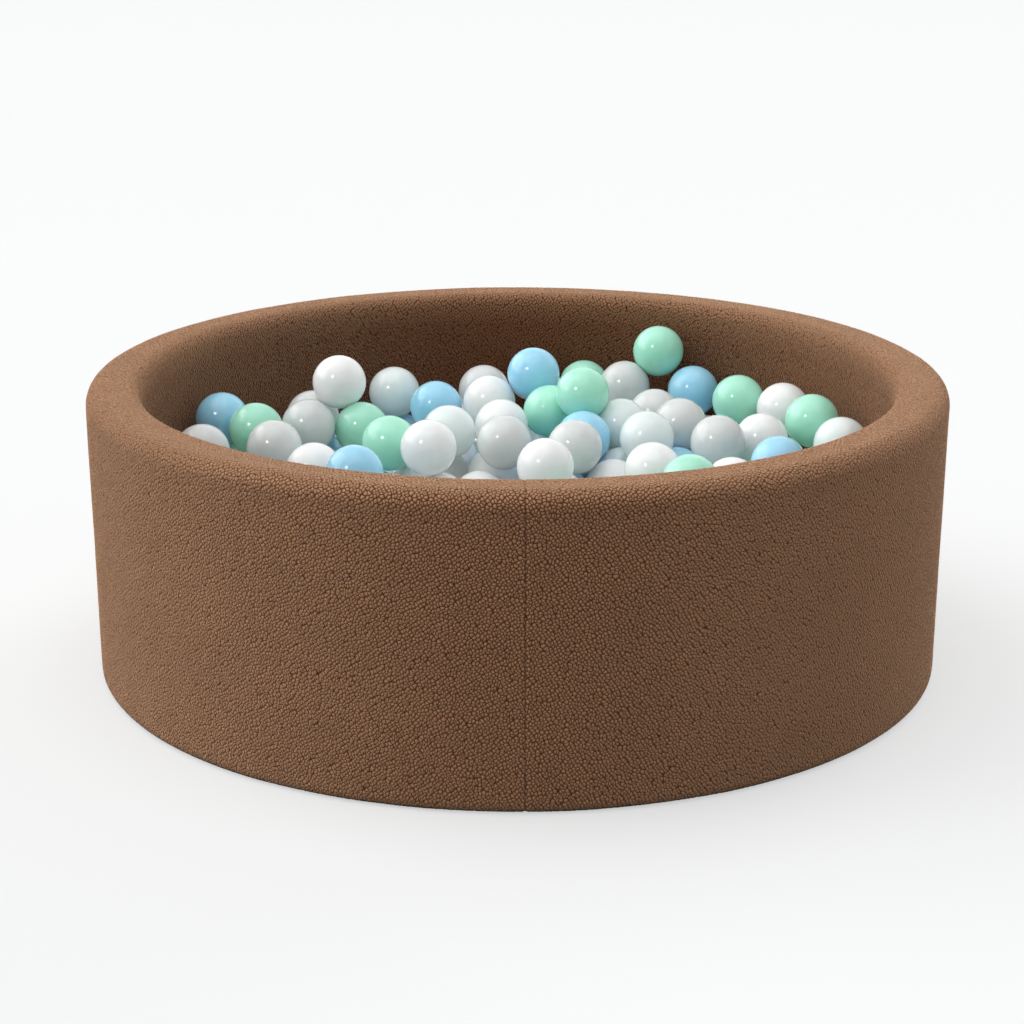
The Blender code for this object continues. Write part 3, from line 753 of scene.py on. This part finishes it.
class BALLPIT_OT_foam(bpy.types.Operator):
    """Makes the foam ring inside the cover"""
    bl_idname = "ball_pit.foam"
    bl_label = "Wall foam"

    def execute(self, context):
        outer = FOAM_BOX[1].x
        bottom, top = FOAM_BOX[0].z, FOAM_BOX[1].z
        inset = RIM_RADIUS - outer
        foot = outer - WALL_DRAW
        inner_rim = RIM_RADIUS - WALL_THICKNESS + inset
        inner_foot = inner_rim - WALL_DRAW
        inner, edge, heel = (cover_round - inset for cover_round in (
            RIM_INNER_ROUND, RIM_OUTER_ROUND, FOOT_ROUND))
        profile = [(inner_foot, bottom)]
        profile += arc((inner_rim + inner, top - inner), inner, 180, 90, 6)
        profile += arc((outer - edge, top - edge), edge, 90, 0, 6)
        profile += arc((foot - heel, bottom + heel), heel, 0, -90, 5)
        slit = 0.4 * MM / outer     # half of the butt joint behind the seam
        piece = mesh_object("foam_ring", *sweep(profile, 240, SEAM_ANGLE + slit,
                                                math.tau - 2 * slit))
        piece.data.set_sharp_from_angle(angle=CREASE)
        piece.data.materials.append(foam_material())
        put(piece, PIT, "foam", "wall_foam")
        return {"FINISHED"}


def disc_piece(name, box, edge_round, material, rings=24, columns=180):
    """A round pad or cloth with rounded edges and a cloth map laid flat over it."""
    radius, bottom, top = box[1].x, box[0].z, box[1].z
    edge_round = min(edge_round, (top - bottom) / 2)
    inner = radius - edge_round
    profile = [(inner * i / rings, bottom) for i in range(rings)]
    profile += arc((inner, bottom + edge_round), edge_round, -90, 0, 4)
    profile += arc((inner, top - edge_round), edge_round, 0, 90, 4)
    profile += [(inner * i / rings, top) for i in reversed(range(rings))]
    verts, faces, _ = revolve(profile, columns)
    piece = mesh_object(name, verts, faces)
    x, y, _ = np.array(verts)[corner_points(piece.data)].T
    lay_cloth_map(piece.data, x, y)
    piece.data.materials.append(material)
    return piece


class BALLPIT_OT_floor(bpy.types.Operator):
    """Makes the floor mat, the lining over it and the cloth under it"""
    bl_idname = "ball_pit.floor"
    bl_label = "Floor"

    def execute(self, context):
        floor = settings("floor")
        mat = disc_piece("mat_foam", MAT_BOX, 4 * MM, foam_material())
        put(mat, PIT, "foam", "floor_mat")
        cloth = woven_material("woven_lining", floor.lining, floor.thread)
        lining = disc_piece("mat_lining", LINING_BOX, 0.8 * MM, cloth)
        put(lining, PIT, "lining_cloth", "floor_lining")
        cloth = woven_material("woven_base_cloth", floor.base, floor.thread, 0.8)
        base = disc_piece("base_cloth", UNDERSIDE_BOX, 1.2 * MM, cloth)
        put(base, PIT, "underside_cloth", "underside")
        return {"FINISHED"}


def band(name, section, angles, columns, material):
    """A closed section of (r, z) swept round the pit between two angles, with a cloth map
    along it and across it."""
    start, end = angles
    verts, faces = sweep(section, columns, start, end - start)
    piece = mesh_object(name, verts, faces)
    piece.data.set_sharp_from_angle(angle=CREASE)
    x, y, z = np.array(verts)[corner_points(piece.data)].T
    lay_cloth_map(piece.data, TAPE_FACE * np.arctan2(y, x), z)
    piece.data.materials.append(material)
    return piece


def rounded_section(inner, outer, bottom, top, edge):
    low, high, back, front = bottom + edge, top - edge, inner + edge, outer - edge
    corners = ((front, low), (front, high), (back, high), (back, low))
    return [point for i, corner in enumerate(corners)
            for point in arc(corner, edge, 90 * i - 90, 90 * i, 2)]


def repeat_tree(name, material):
    """Puts the given piece at each point of the mesh, turned to face away from the pit's
    axis, as one plain mesh."""
    tree, start, add = new_tree(name, "NodeSocketObject", "Piece")
    source = add("GeometryNodeObjectInfo", {"Object": start.outputs["Piece"]})
    turn = add("GeometryNodeInputNamedAttribute", {"Name": "turn"}, data_type="FLOAT_VECTOR")
    copies = add("GeometryNodeInstanceOnPoints",
                 {"Points": start, "Instance": source.outputs["Geometry"], "Rotation": turn})
    end_tree(add, copies, material)
    return tree


def repeat(name, model, places, turns, material):
    """One piece made of copies of the model at the places, each with its own turn."""
    mesh = bpy.data.meshes.new(name)
    mesh.from_pydata([tuple(place) for place in places], [], [])
    set_attribute(mesh, "turn", turns)
    piece = link_to_scene(name, mesh)
    run_tree(piece, repeat_tree(name + " repeat", material), {"Piece": model})
    return piece


def small_block(name, size, bevel):
    """A rounded block about the origin, as a model to repeat."""
    bm = bmesh.new()
    bmesh.ops.create_cube(bm, size=1)
    bmesh.ops.scale(bm, vec=Vector(size), verts=bm.verts)
    bmesh.ops.bevel(bm, geom=bm.edges[:], offset=bevel, segments=1, affect="EDGES")
    mesh = bpy.data.meshes.new(name)
    bm.to_mesh(mesh)
    bm.free()
    mesh.shade_smooth()
    return link_to_scene(name, mesh)


class BALLPIT_OT_zip(bpy.types.Operator):
    """Makes the zip's tapes, stitches and coil of teeth"""
    bl_idname = "ball_pit.zip"
    bl_label = "Zip"

    def execute(self, context):
        zip_sizes = settings("zip")
        cloth = woven_material("woven_zip_tape", zip_sizes.tape, 0.6 * MM)
        thread = woven_material("sewing_thread", zip_sizes.tape, 0.3 * MM)
        nylon = nylon_material()
        tooth = small_block("tooth model", TOOTH_SIZE, 0.42 * MM)
        stitch = small_block("stitch model", STITCH_SIZE, 0.2 * MM)

        def row(name, model, material, radius, level, span, count, shift):
            step = (span[1] - span[0]) / count
            angles = [span[0] + step * (i + shift) for i in range(count)]
            places = [(radius * math.cos(a), radius * math.sin(a), level) for a in angles]
            return repeat(name, model, places, [(0, 0, a) for a in angles], material)

        teeth = round((TEETH_ANGLES[1] - TEETH_ANGLES[0]) * TOOTH_FACE / zip_sizes.tooth_pitch)
        stitches = round((TAPE_ANGLES[1] - TAPE_ANGLES[0]) * TAPE_FACE / zip_sizes.stitch_pitch)
        for side, sign, shift in (("upper", 1, 0.5), ("lower", -1, 0.0)):
            low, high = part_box("zip_tape_" + side)
            section = rounded_section(TAPE_FACE - TAPE_THICKNESS, TAPE_FACE, low.z, high.z,
                                      0.35 * MM)
            tape = band("zip_cloth_" + side, section, TAPE_ANGLES, 220, cloth)
            put(tape, PIT, "zip_cloth", "zip_tape_" + side)
            coil = row("zip_coil_" + side, tooth, nylon, TOOTH_BACK + TOOTH_THICKNESS / 2,
                       ZIP_LEVEL + sign * TEETH_OFF, TEETH_ANGLES, teeth, shift)
            put(coil, PIT, "zip_nylon", "zip_teeth_" + side)
            sewn = row("zip_stitches_" + side, stitch, thread, TAPE_FACE,
                       ZIP_LEVEL + sign * STITCHES_OFF, TAPE_ANGLES, stitches, 0.5)
            put(sewn, PIT, "zip_cloth")
        bpy.data.objects.remove(tooth)
        bpy.data.objects.remove(stitch)
        return {"FINISHED"}


def eased_copy(node, name, bevel, material):
    """A copy of a hard solid with its edges eased, as tumbling leaves them."""
    mesh = frame["nodes"][node].data.copy()
    mesh.name = name
    bm = bmesh.new()
    bm.from_mesh(mesh)
    bmesh.ops.remove_doubles(bm, verts=bm.verts, dist=0.01 * MM)
    bmesh.ops.dissolve_limit(bm, angle_limit=math.radians(1), verts=bm.verts, edges=bm.edges)
    bm.to_mesh(mesh)
    bm.free()
    piece = link_to_scene(name, mesh)
    mesh.materials.clear()
    mesh.materials.append(material)
    mesh.shade_smooth()
    soften = piece.modifiers.new("Eased edges", "BEVEL")
    for key, value in (("width", bevel), ("segments", 2), ("limit_method", "ANGLE"),
                       ("angle_limit", math.radians(35)), ("harden_normals", True)):
        setattr(soften, key, value)
    return piece


class BALLPIT_OT_slider(bpy.types.Operator):
    """Makes the zip's slider, its pull and the two stops"""
    bl_idname = "ball_pit.slider"
    bl_label = "Slider and stops"

    def execute(self, context):
        metal = metal_material()
        for node, name, bevel, body in (
                ("zip_slider", "slider_casting", 0.22 * MM, "zip_slider"),
                ("zip_pull", "pull_tab", 0.25 * MM, "zip_pull"),
                ("zip_stop_open_end", "stop_open_end", 0.35 * MM, PIT),
                ("zip_stop_closed_end", "stop_closed_end", 0.35 * MM, PIT)):
            piece = eased_copy(node, name, bevel, metal)
            put(piece, body, "zip_metal", node)
        return {"FINISHED"}


def ball_profile(rows, ridge):
    """Half outline of a ball, pole to pole, with the mould's line round its middle and the
    small flat mark of the blow pin at one pole."""
    line, pin = PARTING_HALF_WIDTH / BALL_RADIUS, PIN_RADIUS / BALL_RADIUS
    sink = 0.8 * ridge
    lift = {0.0: ridge, line: 0.0, -line: 0.0}
    spread = [math.pi * i / rows - math.pi / 2 for i in range(1, rows)]
    angles = [a for a in spread if abs(a) > 3 * line and abs(a) < math.pi / 2 - 2 * pin]
    angles += [-3 * line, -line, 0.0, line, 3 * line, math.pi / 2 - 1.6 * pin,
               -math.pi / 2 + 1.6 * pin, math.pi / 2 - pin, math.pi / 2 - 0.8 * pin]
    profile = [(0.0, -BALL_RADIUS)]
    for angle in sorted(angles):
        radius = BALL_RADIUS + lift.get(angle, 0.0)
        if angle > math.pi / 2 - 0.9 * pin:
            radius -= sink
        profile.append((radius * math.cos(angle), radius * math.sin(angle)))
    profile.append((0.0, BALL_RADIUS - sink))
    return profile


def ball_model(name, rows, columns):
    verts, faces, _ = revolve(ball_profile(rows, settings("balls").ridge), columns)
    return mesh_object(name, verts, faces)


def lower_places():
    """Middles of the layer under the loose balls, by the construction's rule."""
    uneven = random.Random(HEAP_SEED)
    spacing = SPIRAL_SPACING_SHARE * BALL_RADIUS
    height = UNEVEN_SHARE * BALL_RADIUS
    places = []
    while True:
        reach = spacing * math.sqrt(len(places) + SPIRAL_START_SHARE)
        if reach > HEAP_RADIUS:
            return places
        angle = GOLDEN_ANGLE * len(places)
        places.append((reach * math.cos(angle), reach * math.sin(angle),
                       LOWER_LEVEL + uneven.uniform(-height, height)))


def height_under(x, y, above):
    """The highest that a ball at this place can lie under those above it."""
    apart = BALL_DIAMETER + TOUCH
    off = np.hypot(above[:, 0] - x, above[:, 1] - y)
    near = off < apart
    if not near.any():
        return LOWER_LEVEL
    return (above[near, 2] - np.sqrt(apart ** 2 - off[near] ** 2)).min()


def loose_names():
    return [node for node in frame["nodes"] if "_ball_" in node]


def node_middle(node):
    low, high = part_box(node)
    return np.array((low + high) / 2)


def heap_places():
    """Middles of the layer just under the loose balls, and of all those below it."""
    loose = np.array([node_middle(node) for node in loose_names()])
    upper = [(x, y, min(z, height_under(x, y, loose))) for x, y, z in lower_places()]
    known = np.vstack([loose, upper])
    uneven = random.Random(DEEP_SEED)
    floor_level = LINING_BOX[1].z + BALL_RADIUS + TOUCH
    deep = []
    for i in range(DEEP_TRIES):
        reach = HEAP_RADIUS * math.sqrt((i * GOLDEN_SHARE) % 1)
        angle = GOLDEN_ANGLE * i + uneven.uniform(0, math.tau)
        x, y = reach * math.cos(angle), reach * math.sin(angle)
        z = height_under(x, y, known)
        if floor_level <= z:
            deep.append((x, y, z))
            known = np.vstack([known, (x, y, z)])
    return upper, deep


class BALLPIT_OT_loose_balls(bpy.types.Operator):
    """Makes each ball that lies loose on the heap"""
    bl_idname = "ball_pit.loose_balls"
    bl_label = "Loose balls"

    def execute(self, context):
        model = ball_model("ball model", 26, 44)
        turns = random.Random(HEAP_SEED)
        bodies = {node: body for body, nodes in frame["record"]["behaviour"]["bodies"].items()
                  for node in nodes}
        for node in loose_names():
            colour = node.split("_")[0]
            turn = [turns.uniform(0, math.tau) for _ in range(3)]
            piece = repeat("play_ball_" + node.replace("_ball", ""), model,
                           [node_middle(node)], [turn], ball_material(colour))
            put(piece, bodies[node], colour + "_plastic", node)
        bpy.data.objects.remove(model)
        return {"FINISHED"}


class BALLPIT_OT_lower_balls(bpy.types.Operator):
    """Makes the rest of the heap, down to the floor mat"""
    bl_idname = "ball_pit.lower_balls"
    bl_label = "Lower balls"

    def execute(self, context):
        upper, deep = heap_places()
        shares = ("white", "grey", "mint", "white", "blue", "grey", "mint", "pearl", "grey",
                  "mint", "white", "blue")
        for label, places, rows, columns in (("upper", upper, 20, 34), ("deep", deep, 12, 20)):
            model = ball_model("heap ball model", rows, columns)
            pick = random.Random(HEAP_SEED)
            groups = {}
            for place in places:
                groups.setdefault(pick.choice(shares), []).append(place)
            for colour in sorted(groups):
                turns = [[pick.uniform(0, math.tau) for _ in range(3)] for _ in groups[colour]]
                piece = repeat(f"heap_{label}_{colour}", model, groups[colour], turns,
                               ball_material(colour))
                put(piece, PIT, colour + "_plastic", "lower_balls")
            bpy.data.objects.remove(model)
        return {"FINISHED"}


def seen_by_camera(add):
    """1 for the camera's own rays, and for those it sees in a shiny or a clear thing."""
    path = add("ShaderNodeLightPath")
    seen = path.outputs["Is Camera Ray"]
    for kind in ("Is Glossy Ray", "Is Transmission Ray"):
        seen = add("ShaderNodeMath", {0: seen, 1: path.outputs[kind]}, operation="MAXIMUM")
    return seen


def floor_material():
    """White seamless paper: matt, near white to the camera and in reflections, with the pit's
    soft shadow on it."""
    colour = settings("stage").floor
    made = bpy.data.materials.new("seamless_paper")
    made.use_nodes = True
    made.node_tree.nodes.clear()
    add = partial(add_node, made.node_tree)
    # To the lamps' light it is darker, so that little of it comes back up onto the wall
    plain = add("ShaderNodeBsdfDiffuse", {"Color": (*(0.2 * value for value in colour), 1)})
    paper = add("ShaderNodeBsdfDiffuse", {"Color": (*colour, 1)})
    place = add("ShaderNodeTexCoord")
    away = add("ShaderNodeVectorMath", {0: place.outputs["Object"]},
               operation="LENGTH").outputs["Value"]
    # Near the pit it takes shadow; from 2 to 12 m away it brightens to the plain backdrop
    level, share = (
        add("ShaderNodeMapRange", {0: away, 1: 2.0, 2: 12.0, 3: near, 4: 1.0})
        for near in (0.925, 0.62))
    glow = add("ShaderNodeEmission", {"Color": (*colour, 1), "Strength": level})
    bright = add("ShaderNodeMixShader", {0: share, 1: paper, 2: glow})
    mix = add("ShaderNodeMixShader", {0: seen_by_camera(add), 1: plain, 2: bright})
    add("ShaderNodeOutputMaterial", {"Surface": mix})
    return made


def lamp(name, kind, place, target, energy, **options):
    """A lamp at a place, turned to a target."""
    light = bpy.data.lights.new(name, kind)
    light.energy = energy
    for key, value in options.items():
        setattr(light, key, value)
    made = link_to_scene(name, light)
    made.location = place
    made.rotation_euler = (Vector(target) - Vector(place)).to_track_quat("-Z", "Y").to_euler()
    return made


class BALLPIT_OT_stage(bpy.types.Operator):
    """Makes the floor, the lights, the world and the camera"""
    bl_idname = "ball_pit.stage"
    bl_label = "Stage"

    def execute(self, context):
        stage = settings("stage")
        scene = context.scene
        edge = 60.0                 # metres from the pit, past what the camera sees
        floor = mesh_object("floor", [(-edge, -edge, 0), (edge, -edge, 0), (edge, edge, 0),
                                      (-edge, edge, 0)], [(0, 1, 2, 3)])
        floor.data.materials.append(floor_material())

        middle = (0, 0, 0.15)
        lamp("window", "SUN", (-3.0, 0.9, 1.45), middle, 2.35, angle=math.radians(70))
        lamp("overhead", "SUN", (-0.3, -0.2, 3.0), middle, 1.0, angle=math.radians(60))
        behind = lamp("edge", "SUN", (3.0, 3.9, 0.8), middle, 2.4, angle=math.radians(45))
        behind.visible_glossy = False
        glint = lamp("glint", "AREA", (-1.5, -2.0, 2.0), middle, 15.0, shape="DISK", size=0.42)
        glint.visible_diffuse = False

        world = bpy.data.worlds.new("studio")
        scene.world = world
        world.use_nodes = True
        world.node_tree.nodes.clear()
        add = partial(add_node, world.node_tree)
        fill, back = (
            add("ShaderNodeBackground", {"Color": (*colour, 1), "Strength": strength})
            for colour, strength in ((linear("FFFFFF"), 0.475), (stage.floor, 1.0)))
        mix = add("ShaderNodeMixShader", {0: seen_by_camera(add), 1: fill, 2: back})
        add("ShaderNodeOutputWorld", {"Surface": mix})

        camera = bpy.data.cameras.new("camera")
        camera.lens = stage.lens
        camera.sensor_width = 36
        view = link_to_scene("camera", camera)
        view.location = (0, -stage.camera_distance, stage.camera_height)
        view.rotation_euler = (math.radians(90) - stage.camera_tilt, 0, stage.camera_turn)
        scene.camera = view
        scene.view_settings.view_transform = "Standard"
        return {"FINISHED"}


OPERATORS = (BALLPIT_OT_stage, BALLPIT_OT_cover, BALLPIT_OT_foam, BALLPIT_OT_floor,
             BALLPIT_OT_zip, BALLPIT_OT_slider, BALLPIT_OT_loose_balls,
             BALLPIT_OT_lower_balls)
GROUPS = {"cover": CoverSettings, "floor": FloorSettings, "zip": ZipSettings,
          "balls": BallSettings, "stage": StageSettings}


class BALLPIT_PT_panel(bpy.types.Panel):
    bl_label = "Ball pit"
    bl_idname = "BALLPIT_PT_panel"
    bl_space_type = "VIEW_3D"
    bl_region_type = "UI"
    bl_category = "Ball pit"

    def draw(self, context):
        for operator in OPERATORS:
            self.layout.operator(operator.bl_idname, text=operator.bl_label)
        for name in GROUPS:
            box = self.layout.box()
            box.label(text=name.capitalize())
            group = settings(name)
            for key in group.__annotations__:
                box.prop(group, key)


def register():
    for group in GROUPS.values():
        bpy.utils.register_class(group)
    for name, group in GROUPS.items():
        setattr(bpy.types.Scene, "ball_pit_" + name, PointerProperty(type=group))
    for made in (*OPERATORS, BALLPIT_PT_panel):
        bpy.utils.register_class(made)


def unregister():
    for made in (BALLPIT_PT_panel, *reversed(OPERATORS)):
        bpy.utils.unregister_class(made)
    for name, group in GROUPS.items():
        delattr(bpy.types.Scene, "ball_pit_" + name)
        bpy.utils.unregister_class(group)


def main():
    register()
    for operator in OPERATORS:
        name = operator.bl_idname.split(".")[1]
        getattr(bpy.ops.ball_pit, name)()


if __name__ == "__main__":
    main()
